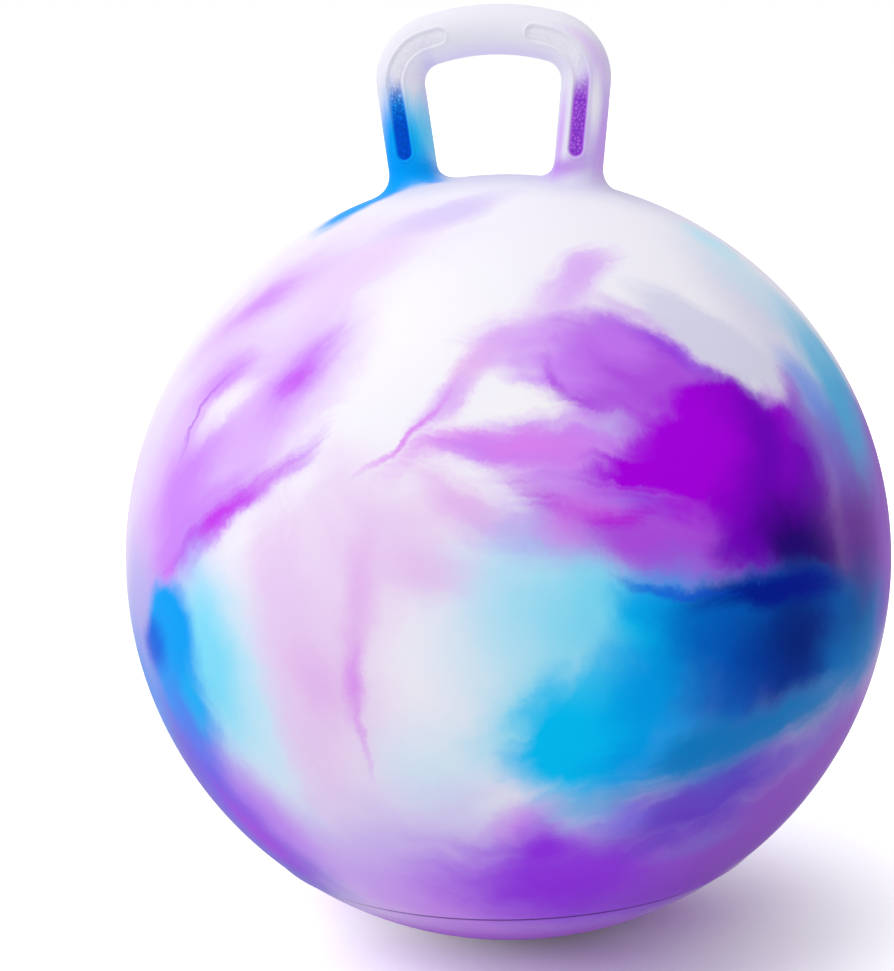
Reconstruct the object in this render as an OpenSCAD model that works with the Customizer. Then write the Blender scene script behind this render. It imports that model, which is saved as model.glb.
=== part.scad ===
// Hopper ball: a large inflated vinyl ball with a loop handle on top and an air valve in its back.
// The loop stands in the XZ plane, the valve points along +Y and the origin is under the ball on the floor.

/* [Ball] */
// Diameter of the inflated ball
ball_d = 508; // [400:1:700]
// Thickness of the ball's skin
skin_t = 1.2; // [0.8:0.1:3]
// Depth that the resting ball is flattened by the floor
floor_flat = 3; // [1:0.5:10]

/* [Mould line] */
// Angle from the middle of the base to the moulded line, seen from the ball's centre
line_angle = 41; // [25:1:70]
// Height of the moulded line above the skin
line_h = 0.6; // [0.3:0.1:1.2]
// Radius of the moulded line's rounded back
line_r = 1.2; // [0.8:0.1:3]

/* [Handle] */
// Outer diameter of the handle's tube
tube_d = 32; // [24:0.5:40]
// Wall of the handle's tube
tube_wall = 2.4; // [1.8:0.1:4]
// Distance between the middles of the two legs where they meet the ball
leg_spacing = 108; // [95:1:150]
// Outward lean of the legs in degrees
leg_lean = 6.6; // [0:0.1:10]
// Height of the handle above the top of the ball
handle_h = 109; // [90:1:150]
// Bend radius of the two corners at the middle of the tube
corner_r = 28; // [21:1:40]
// Arch radius of the top bar at the middle of the tube
arch_r = 148; // [110:1:300]
// Height of the fillet at the foot of each leg
foot_rise = 12; // [6:1:20]
// Reach of that fillet over the ball
foot_reach = 15; // [8:1:20]

/* [Grips] */
// Width of the recessed grips on the front and back of the legs
grip_w = 10; // [6:0.5:14]
// Depth of the recess
grip_depth = 1.2; // [0.4:0.1:1.8]
// Width of the raised lip round each recess
lip_w = 2.5; // [1.5:0.1:4]
// Height of the raised lip
lip_h = 0.6; // [0.2:0.1:1.2]
// Distance from the fillet of the foot up to the lip
grip_rise = 3; // [0.5:0.5:15]
// Gap between the upper ends of the two grips along the top bar
grip_gap = 53; // [30:1:80]

/* [Valve] */
// Width of the flange under the skin, outside the hole
flange_w = 8; // [4:0.5:15]
// Thickness of that flange
flange_t = 1.6; // [1:0.1:3]
// Wall of the cup that holds the plug's head
cup_wall = 3; // [2.5:0.1:6]
// Wall of the valve's inner tube
neck_wall = 2.2; // [1.2:0.1:4]
// Length of the valve from the ball's surface inwards
valve_l = 22; // [20.5:0.5:40]
// Radius of the notch for a fingernail at the rim of the cup
notch_r = 2; // [1:0.1:2.4]

/* [Plug] */
// Diameter of the plug's head
head_d = 15; // [12:0.5:22]
// Thickness of the plug's head
head_t = 2.6; // [1.5:0.1:4]
// Depth of the head below the surface of the ball
head_sunk = 0.4; // [0.2:0.1:1.5]
// Diameter of the plug's stem
stem_d = 5.6; // [4:0.2:8]
// Length of the stem
stem_l = 16; // [13:0.5:17]
// Number of ribs on the stem
rib_count = 3; // [1:1:4]
// Height of the ribs
rib_h = 0.4; // [0.2:0.1:0.8]
// Length of one rib along the stem
rib_l = 2; // [1:0.1:3]

/* [Fits] */
// Gap in the weld lines between the skin, the handle's feet and the valve
weld_gap = 0.25; // [0.1:0.05:0.5]
// Clearance round the plug
plug_gap = 0.25; // [0.1:0.05:0.5]

/* [Hidden] */

// Steps of round shapes
ball_steps = 180;
small_steps = 72;

// Ball, measured from its centre
ball_r = ball_d / 2;
inside_r = ball_r - skin_t;
centre_h = ball_r - floor_flat;
cut_over = 5;

// Middle line of the handle's right half, in the plane of the loop
tube_r = tube_d / 2;
foot_angle = asin(leg_spacing / ball_d);
rim_angle = asin((tube_r + foot_reach) / ball_r);
foot = ball_r * [sin(foot_angle), cos(foot_angle)];
leg_up = [sin(leg_lean), cos(leg_lean)];
leg_in = [-cos(leg_lean), sin(leg_lean)];
arch_c = [0, ball_r + handle_h - tube_r - arch_r];
corner_off = foot + corner_r * leg_in - arch_c;
corner_up = corner_off * leg_up;
leg_l = sqrt(pow(corner_up, 2) - corner_off * corner_off + pow(arch_r - corner_r, 2)) - corner_up;
corner_c = foot + leg_l * leg_up + corner_r * leg_in;
arch_start = atan2(corner_c[1] - arch_c[1], corner_c[0] - arch_c[0]);
corner_l = arc_length(corner_r, arch_start + leg_lean);
arch_l = arc_length(arch_r, 90 - arch_start);
half_l = leg_l + corner_l + arch_l;

// Grips, by their distance along the middle line from the foot
grip_half = grip_w / 2;
grip_from = foot_rise + grip_rise + lip_w;
grip_to = half_l - grip_gap / 2;
edge_run = 0.4;

// Steps of the handle's surface
foot_steps = 5;
run_steps = 15;
top_steps = 4;
side_steps = 3;
inner_steps = 11;

// Valve, by its distance from the ball's centre along its own axis
head_r = head_d / 2;
head_base = ball_r - head_sunk - head_t;
cup_r = head_r + plug_gap;
cup_base = head_base - plug_gap;
seat_r = cup_r + cup_wall;
hole_r = seat_r + weld_gap;
flange_r = seat_r + flange_w;
flange_top = inside_r - weld_gap;
stem_r = stem_d / 2;
rib_r = stem_r + rib_h;
bore_r = rib_r + plug_gap;
neck_r = bore_r + neck_wall;
rib_step = stem_l / (rib_count + 1);

// Length of an arc
function arc_length(radius, angle) = radius * angle * PI / 180;

// Angle that a length takes up on a circle
function arc_angle(radius, length) = length / radius * 180 / PI;

// Direction that faces out of the loop, at a distance along the middle line
function facing(s) =
    s <= leg_l ? -leg_lean
    : s <= leg_l + corner_l ? arc_angle(corner_r, s - leg_l) - leg_lean
    : arch_start + arc_angle(arch_r, s - leg_l - corner_l);

// Point of the middle line
function middle(s) =
    s <= leg_l ? foot + s * leg_up
    : let (out = [cos(facing(s)), sin(facing(s))])
      s <= leg_l + corner_l ? corner_c + corner_r * out : arch_c + arch_r * out;

// Point on the tube: angle 0 is the front, 90 the outside of the loop, 180 the back
function tube_point(s, angle, radius) =
    let (m = middle(s), f = facing(s))
    [m[0] + radius * sin(angle) * cos(f), -radius * cos(angle), m[1] + radius * sin(angle) * sin(f)];

// Point where the leg would run straight into a sphere round the ball's centre
function landing(angle, radius, sphere_r) =
    let (g = tube_point(0, angle, radius), up = [leg_up[0], 0, leg_up[1]], along = g * up)
    g + (sqrt(pow(along, 2) - g * g + pow(sphere_r, 2)) - along) * up;

// Point on the rim of the foot
function rim_point(angle, sphere_r) =
    let (across = sin(rim_angle) * sin(angle), up = cos(rim_angle))
    sphere_r * [up * sin(foot_angle) + across * cos(foot_angle), -sin(rim_angle) * cos(angle),
                up * cos(foot_angle) - across * sin(foot_angle)];

// Point on the fillet of the foot, from the leg at 0 to the rim at 1
function fillet_point(t, angle, radius, sphere_r) =
    pow(1 - t, 2) * tube_point(foot_rise, angle, radius)
    + 2 * t * (1 - t) * landing(angle, radius, sphere_r)
    + t * t * rim_point(angle, sphere_r);

// Height of the grip's recess and lip, by the distance from the grip's middle line
function grip_height(distance) =
    lookup(distance, [[0, -grip_depth], [grip_half - edge_run, -grip_depth], [grip_half + edge_run, lip_h],
                      [grip_half + lip_w / 2, lip_h], [grip_half + lip_w, 0], [ball_d, 0]]);

// Distance of a point on the tube from the middle line of the nearest grip
function grip_distance(s, angle) =
    let (turn = min(abs(angle), abs(angle - 180), abs(angle - 360)),
         past = max(0, grip_from + grip_half - s, s - grip_to + grip_half))
    norm([past, arc_length(tube_r, turn)]);

// Angles of the points round the tube, closer together on the grips
grip_sides = [0, grip_half / 2, grip_half - edge_run, grip_half + edge_run, grip_half + lip_w / 2];
lip_angle = arc_angle(tube_r, grip_half + lip_w);
quarter = concat([for (d = grip_sides) arc_angle(tube_r, d)],
                 [for (k = [0 : side_steps - 1]) lip_angle + (90 - lip_angle) * k / side_steps]);
half_turn = concat(quarter, [90], [for (k = [len(quarter) - 1 : -1 : 1]) 180 - quarter[k]]);
round_angles = concat(half_turn, [for (a = half_turn) a + 180]);
sides = len(round_angles);

// Distances of the rings along the middle line, closer together at the ends of the grips
end_offsets = [-lip_w, -lip_w / 2, -edge_run, edge_run, grip_half * 0.3, grip_half * 0.65, grip_half];
run_from = grip_from + grip_half;
run_l = grip_to - grip_half - run_from;
top_from = grip_to + lip_w;
outer_stations = concat([for (d = end_offsets) grip_from + d],
                        [for (k = [1 : run_steps - 1]) run_from + run_l * k / run_steps],
                        [for (k = [len(end_offsets) - 1 : -1 : 0]) grip_to - end_offsets[k]],
                        [for (k = [1 : top_steps]) top_from + (half_l - top_from) * k / top_steps]);
inner_stations = [for (k = [1 : inner_steps]) foot_rise + (half_l - foot_rise) * k / inner_steps];

// Rings of one wall from the right foot over the top to the left foot
function foot_rings(radius, sphere_r) =
    [for (k = [foot_steps : -1 : 0]) [for (a = round_angles) fillet_point(k / foot_steps, a, radius, sphere_r)]];
function mirrored(ring) = [for (p = ring) [-p[0], p[1], p[2]]];
function whole(half) = concat(half, [for (k = [len(half) - 2 : -1 : 0]) mirrored(half[k])]);
outer_rings = whole(concat(foot_rings(tube_r, ball_r),
                           [for (s = outer_stations)
                                [for (a = round_angles)
                                     tube_point(s, a, tube_r + grip_height(grip_distance(s, a)))]]));
inner_rings = whole(concat(foot_rings(tube_r - tube_wall, inside_r),
                           [for (s = inner_stations)
                                [for (a = round_angles) tube_point(s, a, tube_r - tube_wall)]]));

// Triangles between two rings whose first points are given
function band(low, high) =
    [for (k = [0 : sides - 1])
         let (next = (k + 1) % sides)
         each [[low + k, high + k, low + next], [high + k, high + next, low + next]]];
function wall_bands(first, rings) =
    [for (k = [0 : len(rings) - 2]) each band(first + k * sides, first + (k + 1) * sides)];
function turned(faces) = [for (f = faces) [f[2], f[1], f[0]]];

// Section of the ball's skin, with the moulded line and the flat that rests on the floor
module skin_section() {
    line_c = ball_r + line_h - line_r;
    difference() {
        union() {
            circle(r = ball_r, $fn = ball_steps);
            rotate(line_angle - 90) translate([line_c, 0]) circle(r = line_r, $fn = small_steps);
        }
        intersection() {
            circle(r = inside_r, $fn = ball_steps);
            translate([-ball_r, skin_t - centre_h]) square([ball_d, ball_d + centre_h]);
        }
        translate([-ball_d, -ball_d]) square([ball_d, 2 * ball_d]);
        translate([-ball_d, -ball_d - centre_h]) square([2 * ball_d, ball_d]);
    }
}

// Cone from the ball's centre that opens the skin for one foot of the handle
module foot_port(side) {
    port_angle = rim_angle + arc_angle(ball_r, weld_gap);
    low = inside_r - cut_over;
    high = ball_r + cut_over;
    rotate([0, side * foot_angle, 0])
        translate([0, 0, low])
            cylinder(h = high - low, r1 = low * tan(port_angle), r2 = high * tan(port_angle), $fn = small_steps);
}

// Places a shape that stands on the ball's centre along the valve's axis
module on_valve_axis() {
    rotate([-90, 0, 0]) children();
}

// Inflated skin of the ball
module ball_skin() {
    color([0.68, 0.50, 0.92])
        translate([0, 0, centre_h])
            difference() {
                rotate_extrude($fn = ball_steps) skin_section();
                for (side = [-1, 1]) foot_port(side);
                on_valve_axis()
                    translate([0, 0, inside_r - cut_over])
                        cylinder(h = skin_t + 2 * cut_over, r = hole_r, $fn = small_steps);
            }
}

// Hollow loop handle with flared feet and recessed grips
module handle_loop() {
    inner_first = len(outer_rings) * sides;
    outer_last = inner_first - sides;
    inner_last = inner_first + (len(inner_rings) - 1) * sides;
    points = [for (ring = concat(outer_rings, inner_rings)) each ring];
    faces = concat(wall_bands(0, outer_rings), turned(wall_bands(inner_first, inner_rings)),
                   turned(band(0, inner_first)), band(outer_last, inner_last));
    color([0.88, 0.80, 0.97])
        translate([0, 0, centre_h])
            polyhedron(points = points, faces = faces, convexity = 6);
}

// Section of the valve seat: cup, flange under the skin and inner tube
module seat_section() {
    difference() {
        union() {
            intersection() {
                circle(r = ball_r, $fn = 4 * ball_steps);
                translate([0, cup_base - cup_wall]) square([seat_r, ball_r]);
            }
            intersection() {
                difference() {
                    circle(r = flange_top, $fn = 4 * ball_steps);
                    circle(r = flange_top - flange_t, $fn = 4 * ball_steps);
                }
                square([flange_r, ball_r]);
            }
            translate([0, ball_r - valve_l]) square([neck_r, valve_l + cup_base - ball_r]);
        }
        translate([0, cup_base]) square([cup_r, ball_r]);
        square([bore_r, ball_r]);
    }
}

// Valve seat welded into the skin
module valve_seat() {
    color([0.93, 0.93, 0.95])
        translate([0, 0, centre_h])
            on_valve_axis()
                difference() {
                    rotate_extrude($fn = small_steps) seat_section();
                    translate([cup_r, 0, cup_base]) cylinder(h = ball_r, r = notch_r, $fn = small_steps);
                }
}

// Section of the plug: head that follows the ball's curve and ribbed stem
module plug_section() {
    intersection() {
        circle(r = ball_r - head_sunk, $fn = 4 * ball_steps);
        translate([0, head_base]) square([head_r, ball_r]);
    }
    translate([0, head_base - stem_l]) square([stem_r, stem_l + head_t / 2]);
    for (k = [1 : rib_count])
        translate([0, head_base - k * rib_step])
            polygon([[0, -rib_l / 2], [stem_r, -rib_l / 2], [rib_r, rib_l / 2], [0, rib_l / 2]]);
}

// Air plug pushed into the valve seat
module valve_plug() {
    color([0.97, 0.97, 0.98])
        translate([0, 0, centre_h])
            on_valve_axis()
                rotate_extrude($fn = small_steps) plug_section();
}

ball_skin();
handle_loop();
valve_seat();
valve_plug();
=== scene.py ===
from collections import namedtuple
from math import acos, asin, atan2, ceil, cos, hypot, pi, radians, sin, sqrt

import bmesh
import bpy
from mathutils import Matrix, Vector, noise
from mathutils.geometry import delaunay_2d_cdt


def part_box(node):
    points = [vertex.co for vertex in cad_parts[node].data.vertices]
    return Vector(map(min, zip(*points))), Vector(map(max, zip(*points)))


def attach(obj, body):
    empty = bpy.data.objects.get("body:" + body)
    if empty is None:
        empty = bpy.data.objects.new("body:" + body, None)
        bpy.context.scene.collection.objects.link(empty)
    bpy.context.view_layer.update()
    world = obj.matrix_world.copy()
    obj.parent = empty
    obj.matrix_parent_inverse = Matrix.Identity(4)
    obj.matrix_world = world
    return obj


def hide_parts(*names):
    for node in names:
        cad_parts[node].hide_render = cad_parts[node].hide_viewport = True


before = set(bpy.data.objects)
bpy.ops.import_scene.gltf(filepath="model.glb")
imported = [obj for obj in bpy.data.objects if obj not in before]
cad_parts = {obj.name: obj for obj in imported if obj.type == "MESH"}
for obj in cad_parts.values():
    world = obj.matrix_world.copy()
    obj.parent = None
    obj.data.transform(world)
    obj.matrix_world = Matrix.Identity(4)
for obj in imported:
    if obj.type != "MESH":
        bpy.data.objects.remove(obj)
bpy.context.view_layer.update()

# Units: shapes are worked out in millimetres from the ball's centre
MM = 0.001

# Ball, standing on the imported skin's lowest point
BALL_R = 254
FLOOR_FLAT = 3
CENTRE_H = BALL_R - FLOOR_FLAT
CENTRE = Vector((0, 0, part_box("ball_skin")[0].z + CENTRE_H * MM))
SKIN_T = 1.2

# Moulded line round the base
LINE_ANGLE = radians(41)
LINE_H = 0.6

# Handle, as in the solids
TUBE_R = 16
LEG_SPACING = 108
LEG_LEAN = radians(6.6)
HANDLE_H = 109
CORNER_R = 28
ARCH_R = 148
FOOT_RISE = 12
FOOT_REACH = 15

# Grips on the handle
GRIP_HALF = 5
GRIP_DEPTH = 1.2
LIP_W = 2.5
LIP_H = 0.6
GRIP_RISE = 3
GRIP_GAP = 53
PEBBLE = 2.3
PEBBLE_H = 0.32
SEAM_W = 0.45

# Valve and plug
HOLE_R = 11
SEAT_R = 10.75
CUP_R = 7.75
BORE_R = 3.45
NECK_R = 5.65
FLANGE_R = 18.75
WELD_GAP = 0.25
FLANGE_TOP = BALL_R - SKIN_T - WELD_GAP
FLANGE_T = 1.6
CUP_WALL = 3
VALVE_L = 22
NOTCH_R = 2
HEAD_R = 7.5
HEAD_SUNK = 0.4
HEAD_T = 2.6
PLUG_GAP = 0.25
HEAD_BASE = BALL_R - HEAD_SUNK - HEAD_T
CUP_BASE = HEAD_BASE - PLUG_GAP
STEM_R = 2.8
STEM_L = 16
RIB_COUNT = 3
RIB_H = 0.4
RIB_L = 2

# Camera that stands where the photograph's did
PHOTO_W = 894
PHOTO_H = 971
FOCAL_PX = 2263
SENSOR_MM = 36
AZIMUTH = radians(13)
ELEVATION = radians(13)
ROLL = radians(1.7)
CAMERA_RADII = 6
BALL_X_PX = 506.7
BALL_Y_PX = 555.0


def make_camera():
    """The camera, aimed so that the ball's centre falls on its pixel without any lens shift."""
    back = Vector((sin(AZIMUTH) * cos(ELEVATION), -cos(AZIMUTH) * cos(ELEVATION), sin(ELEVATION)))
    level = (-back).to_track_quat("-Z", "Y").to_matrix()
    rolled = level @ Matrix.Rotation(-ROLL, 3, "Z")
    aim = Vector((BALL_X_PX - PHOTO_W / 2, PHOTO_H / 2 - BALL_Y_PX, -FOCAL_PX)).normalized()
    swing = Vector((0, 0, -1)).rotation_difference(aim).to_matrix()
    data = bpy.data.cameras.new("photo_camera")
    data.sensor_width = SENSOR_MM
    data.lens = SENSOR_MM * FOCAL_PX / max(PHOTO_W, PHOTO_H)
    camera = bpy.data.objects.new("photo_camera", data)
    place = CENTRE + back * CAMERA_RADII * BALL_R * MM
    camera.matrix_world = Matrix.Translation(place) @ (rolled @ swing.transposed()).to_4x4()
    bpy.context.scene.collection.objects.link(camera)
    bpy.context.scene.camera = camera
    return camera


camera = make_camera()
eye = camera.matrix_world.translation.copy()


def sight(x, y):
    """Direction from the camera through a pixel of the photograph."""
    ray = Vector((x - PHOTO_W / 2, PHOTO_H / 2 - y, -FOCAL_PX)).normalized()
    return camera.matrix_world.to_3x3() @ ray


def on_ball(point):
    """The place on the ball's surface that lies straight over a point."""
    return CENTRE + (point - CENTRE).normalized() * BALL_R * MM


def seen(x, y):
    """The place on the ball under a pixel, or on the ball's edge where the pixel misses it."""
    ray = sight(x, y)
    nearest = (CENTRE - eye).dot(ray)
    miss = (eye + ray * nearest - CENTRE).length
    if miss >= BALL_R * MM:
        return on_ball(eye + ray * nearest)
    return eye + ray * (nearest - sqrt((BALL_R * MM) ** 2 - miss ** 2))


def on_loop(x, y):
    """The place on the handle's front under a pixel, brought back to the plane of the loop."""
    ray = sight(x, y)
    front = eye + ray * ((-TUBE_R * MM - eye.y) / ray.y)
    return Vector((front.x, 0, front.z))


def at(longitude, latitude):
    """The place on the ball at a longitude, from +X towards +Y, and a latitude in degrees."""
    turn = radians(longitude)
    rise = radians(latitude)
    return CENTRE + Vector((cos(rise) * cos(turn), cos(rise) * sin(turn), sin(rise))) * BALL_R * MM


# Middle line of the handle's right half, in the plane of the loop
FOOT_ANGLE = asin(LEG_SPACING / 2 / BALL_R)
RIM_ANGLE = asin((TUBE_R + FOOT_REACH) / BALL_R)
foot = Vector((sin(FOOT_ANGLE), cos(FOOT_ANGLE))) * BALL_R
leg_up = Vector((sin(LEG_LEAN), cos(LEG_LEAN)))
leg_in = Vector((-cos(LEG_LEAN), sin(LEG_LEAN)))
arch_centre = Vector((0, BALL_R + HANDLE_H - TUBE_R - ARCH_R))
corner_off = foot + CORNER_R * leg_in - arch_centre
corner_up = corner_off.dot(leg_up)
leg_l = sqrt(corner_up ** 2 - corner_off.length_squared + (ARCH_R - CORNER_R) ** 2) - corner_up
corner_centre = foot + leg_l * leg_up + CORNER_R * leg_in
arch_start = atan2(corner_centre.y - arch_centre.y, corner_centre.x - arch_centre.x)
corner_l = CORNER_R * (arch_start + LEG_LEAN)
half_l = leg_l + corner_l + ARCH_R * (pi / 2 - arch_start)
GRIP_FROM = FOOT_RISE + GRIP_RISE + LIP_W
GRIP_TO = half_l - GRIP_GAP / 2


def facing(s):
    """Angle that faces out of the loop, at a distance along the middle line."""
    if s <= leg_l:
        return -LEG_LEAN
    if s <= leg_l + corner_l:
        return (s - leg_l) / CORNER_R - LEG_LEAN
    return arch_start + (s - leg_l - corner_l) / ARCH_R


def middle(s):
    """Point of the middle line."""
    if s <= leg_l:
        return foot + s * leg_up
    out = Vector((cos(facing(s)), sin(facing(s))))
    if s <= leg_l + corner_l:
        return corner_centre + CORNER_R * out
    return arch_centre + ARCH_R * out


def tube_point(s, angle, radius):
    """Point on the tube: angle 0 is the front, a quarter turn the outside of the loop."""
    line = middle(s)
    out = facing(s)
    reach = radius * sin(angle)
    return Vector((line.x + reach * cos(out), -radius * cos(angle), line.y + reach * sin(out)))


def rim_point(angle):
    """Point on the rim of the foot, where the handle runs into the ball."""
    across = sin(RIM_ANGLE) * sin(angle)
    up = cos(RIM_ANGLE)
    return BALL_R * Vector((up * sin(FOOT_ANGLE) + across * cos(FOOT_ANGLE), -sin(RIM_ANGLE) * cos(angle),
                            up * cos(FOOT_ANGLE) - across * sin(FOOT_ANGLE)))


def fillet_point(t, angle):
    """Point on the fillet of the foot, from the leg at 0 to the rim at 1, smooth at both."""
    start = tube_point(FOOT_RISE, angle, TUBE_R)
    rim = rim_point(angle)
    side = tube_point(0, angle, TUBE_R)
    up = Vector((leg_up.x, 0, leg_up.y))
    out = rim.normalized()
    bend = side + up * ((rim - side).dot(out) / up.dot(out))
    return (1 - t) ** 2 * start + 2 * t * (1 - t) * bend + t * t * rim


def smooth(low, high, value):
    """Eases from 0 to 1 as a value goes from low to high."""
    share = min(1, max(0, (value - low) / (high - low)))
    return share * share * (3 - 2 * share)


def grip_reach(s, angle):
    """Distance of a point on the tube from the middle line of the nearest grip."""
    turn = abs((angle + pi / 2) % pi - pi / 2)
    past = max(0, GRIP_FROM + GRIP_HALF - s, s - GRIP_TO + GRIP_HALF)
    return hypot(past, TUBE_R * turn)


# Runs of the grip's edge and of its floor's border
EDGE_RUN = 0.55
FLOOR_RUN = 1.2


def grip_floor(reach):
    """1 on the floor of a grip, and 0 outside it."""
    return 1 - smooth(GRIP_HALF - FLOOR_RUN, GRIP_HALF - EDGE_RUN, reach)


def pebble_height(s, angle, side):
    """Height of the leathery pebbles on the floor of a grip."""
    near, second = noise.voronoi(Vector((s, TUBE_R * angle, side * GRIP_GAP)) / PEBBLE)[0][:2]
    return PEBBLE_H * smooth(0, SEAM_W, second - near)


def grip_height(s, angle, side):
    """Height of the tube's surface at a grip: pebbled floor, steep edge and rounded lip."""
    reach = grip_reach(s, angle)
    if reach > GRIP_HALF + LIP_W:
        return 0
    edge = smooth(GRIP_HALF - EDGE_RUN, GRIP_HALF + EDGE_RUN, reach)
    lip = LIP_H * (1 - smooth(GRIP_HALF + LIP_W / 2, GRIP_HALF + LIP_W, reach))
    floor = grip_floor(reach)
    pebbles = pebble_height(s, angle, side) if floor > 0 else 0
    return (1 - edge) * -GRIP_DEPTH + edge * lip + floor * pebbles


def tube_marks(s, angle, side):
    """Shares that the grip's colours and the loop's have at a point on the tube, and the share of painted
    shade in the low seams between the pebbles.
    """
    reach = grip_reach(s, angle)
    if reach > GRIP_HALF + EDGE_RUN:
        return 0, 1, 0
    grip = 1 - smooth(GRIP_HALF - EDGE_RUN, GRIP_HALF + EDGE_RUN, reach)
    # Painted shade: the seams between the pebbles, darker the lower they lie
    seam_shade = grip_floor(reach) * (1 - pebble_height(s, angle, side) / PEBBLE_H)
    return grip, 1, seam_shade


def placed(point):
    """World place of a point in millimetres from the ball's centre."""
    return CENTRE + Vector(point) * MM


def new_piece(name, points, faces, marks=None):
    """A smooth mesh piece from points in millimetres from the ball's centre, with marks as attributes."""
    mesh = bpy.data.meshes.new(name)
    mesh.from_pydata([placed(p) for p in points], [], faces)
    for mark, values in (marks or {}).items():
        layer = mesh.attributes.new(mark, "FLOAT", "POINT")
        layer.data.foreach_set("value", values)
    mesh.validate()
    mesh.shade_smooth()
    piece = bpy.data.objects.new(name, mesh)
    bpy.context.scene.collection.objects.link(piece)
    return piece


# Distances within which points are one, in metres, and within which they lie on a rim, in millimetres
MERGE_DIST = 1e-6
RIM_CLOSE = 0.05


def merge_points(piece):
    """Joins points that lie on each other and turns all faces outwards."""
    build = bmesh.new()
    build.from_mesh(piece.data)
    bmesh.ops.remove_doubles(build, verts=build.verts, dist=MERGE_DIST)
    bmesh.ops.recalc_face_normals(build, faces=build.faces)
    build.to_mesh(piece.data)
    build.free()
    piece.data.shade_smooth()


def set_rim_normals(piece):
    """Gives the points on the feet's rims the ball's own normals, so that the join doesn't show."""
    normals = []
    for vertex in piece.data.vertices:
        out = (vertex.co - CENTRE).normalized()
        at_rim = min(abs(out.angle(axis) - RIM_ANGLE) for axis in foot_axes) * BALL_R < RIM_CLOSE
        on_surface = abs((vertex.co - CENTRE).length / MM - BALL_R) < RIM_CLOSE
        normals.append(out if at_rim and on_surface else vertex.normal.copy())
    piece.data.normals_split_custom_set_from_vertices(normals)


# Directions from the ball's centre through the two feet
foot_axes = [Vector((side * sin(FOOT_ANGLE), 0, cos(FOOT_ANGLE))) for side in (-1, 1)]

# Ball
COLUMNS = 256
CAP_ANGLE = radians(30)
RING_STEP = radians(1.4)
CAP_SPACING = 3.6
WINDOW_COLUMNS = 7
WINDOW_ANGLE = radians(10)
HOLE_STEPS = 96
CLOSE_SHARE = 0.6
FLAT_CLOSE = 1e-5

# Section of the moulded line and of the groove below it: distance along the skin and height over it
GROOVE_H = 0.6
line_profile = [(-5.8, 0), (-5.2, -GROOVE_H * 0.2), (-4.6, -GROOVE_H * 0.7), (-4.0, -GROOVE_H),
                (-1.8, -GROOVE_H), (-1.2, -GROOVE_H * 0.5), (-0.8, 0), (-0.4, LINE_H * 0.8),
                (0, LINE_H), (0.6, LINE_H * 0.97), (1.4, LINE_H * 0.85), (2.6, LINE_H * 0.55),
                (3.8, LINE_H * 0.25), (5.0, LINE_H * 0.06), (6.2, 0)]

# Rounded edge of the hole for the valve: distance outside the hole and depth below the skin
hole_edge = [(0.7, 0), (0.35, 0.06), (0.1, 0.25), (0, 0.6), (0, SKIN_T)]


def even_steps(start, stop, step):
    """Evenly spread values from start to stop, both included, about one step apart."""
    count = max(1, ceil(abs(stop - start) / step))
    return [start + (stop - start) * k / count for k in range(count + 1)]


def skin_rings():
    """Rings of the skin from the cap down to the floor, as angle from the base and height over the ball."""
    flat_angle = acos(CENTRE_H / BALL_R)
    line_low = LINE_ANGLE + line_profile[0][0] / BALL_R
    line_high = LINE_ANGLE + line_profile[-1][0] / BALL_R
    rings = [(angle, 0) for angle in even_steps(pi - CAP_ANGLE, line_high, RING_STEP)[:-1]]
    rings += [(LINE_ANGLE + along / BALL_R, height) for along, height in reversed(line_profile)]
    rings += [(angle, 0) for angle in even_steps(line_low, flat_angle, RING_STEP)[1:]]
    return rings


def skin_point(angle, height, turn):
    """Point over the ball at an angle from the base and a turn about the upright axis."""
    out = (BALL_R + height) * sin(angle)
    return Vector((out * cos(turn), out * sin(turn), -(BALL_R + height) * cos(angle)))


def fill_between(outline, hole_loops, flatten, lift, inside, spacing):
    """Even triangles between an outline and its holes: flatten and lift map to a plane and back."""
    flat = []
    edges = []
    for loop in [outline] + hole_loops:
        first = len(flat)
        flat += [flatten(p) for p in loop]
        edges += [(first + k, first + (k + 1) % len(loop)) for k in range(len(loop))]
    border = list(flat)
    reach = max(max(abs(p.x), abs(p.y)) for p in border)
    row_step = spacing * sqrt(3) / 2
    rows = int(reach / row_step) + 1
    columns = int(reach / spacing) + 1
    grid_cells = {}
    for p in border:
        grid_cells.setdefault((int(p.x // spacing), int(p.y // spacing)), []).append(p)
    for row in range(-rows, rows + 1):
        for column in range(-columns, columns + 1):
            spot = Vector(((column + row % 2 / 2) * spacing, row * row_step))
            cell = (int(spot.x // spacing), int(spot.y // spacing))
            close = [p for dx in (-1, 0, 1) for dy in (-1, 0, 1)
                     for p in grid_cells.get((cell[0] + dx, cell[1] + dy), [])]
            if inside(spot) and all((p - spot).length > spacing * CLOSE_SHARE for p in close):
                flat.append(spot)
    made = delaunay_2d_cdt(flat, edges, [], 0, FLAT_CLOSE)
    points = [lift(p) for p in made[0]]
    faces = []
    for face in made[2]:
        centre = sum((made[0][k] for k in face), Vector((0, 0))) / len(face)
        if inside(centre):
            faces.append(list(face))
    return points, faces


def flatten_cap(point):
    """Lays the ball's top flat, keeping distances from the top."""
    tilt = atan2(hypot(point.x, point.y), point.z)
    return Vector((point.x, point.y)).normalized() * tilt * BALL_R


def lift_cap(spot):
    """Puts a flattened point back on the ball's top."""
    tilt = spot.length / BALL_R
    turn = atan2(spot.y, spot.x)
    return BALL_R * Vector((sin(tilt) * cos(turn), sin(tilt) * sin(turn), cos(tilt)))


def on_open_cap(spot):
    """Whether a flattened point lies on the cap and outside both feet."""
    out = lift_cap(spot)
    return spot.length <= CAP_ANGLE * BALL_R and all(out.angle(axis) >= RIM_ANGLE for axis in foot_axes)


def lift_window(spot):
    """Puts a point of the valve's window back on the ball's back."""
    return Vector((spot.x, sqrt(BALL_R ** 2 - spot.length_squared), spot.y))


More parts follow.
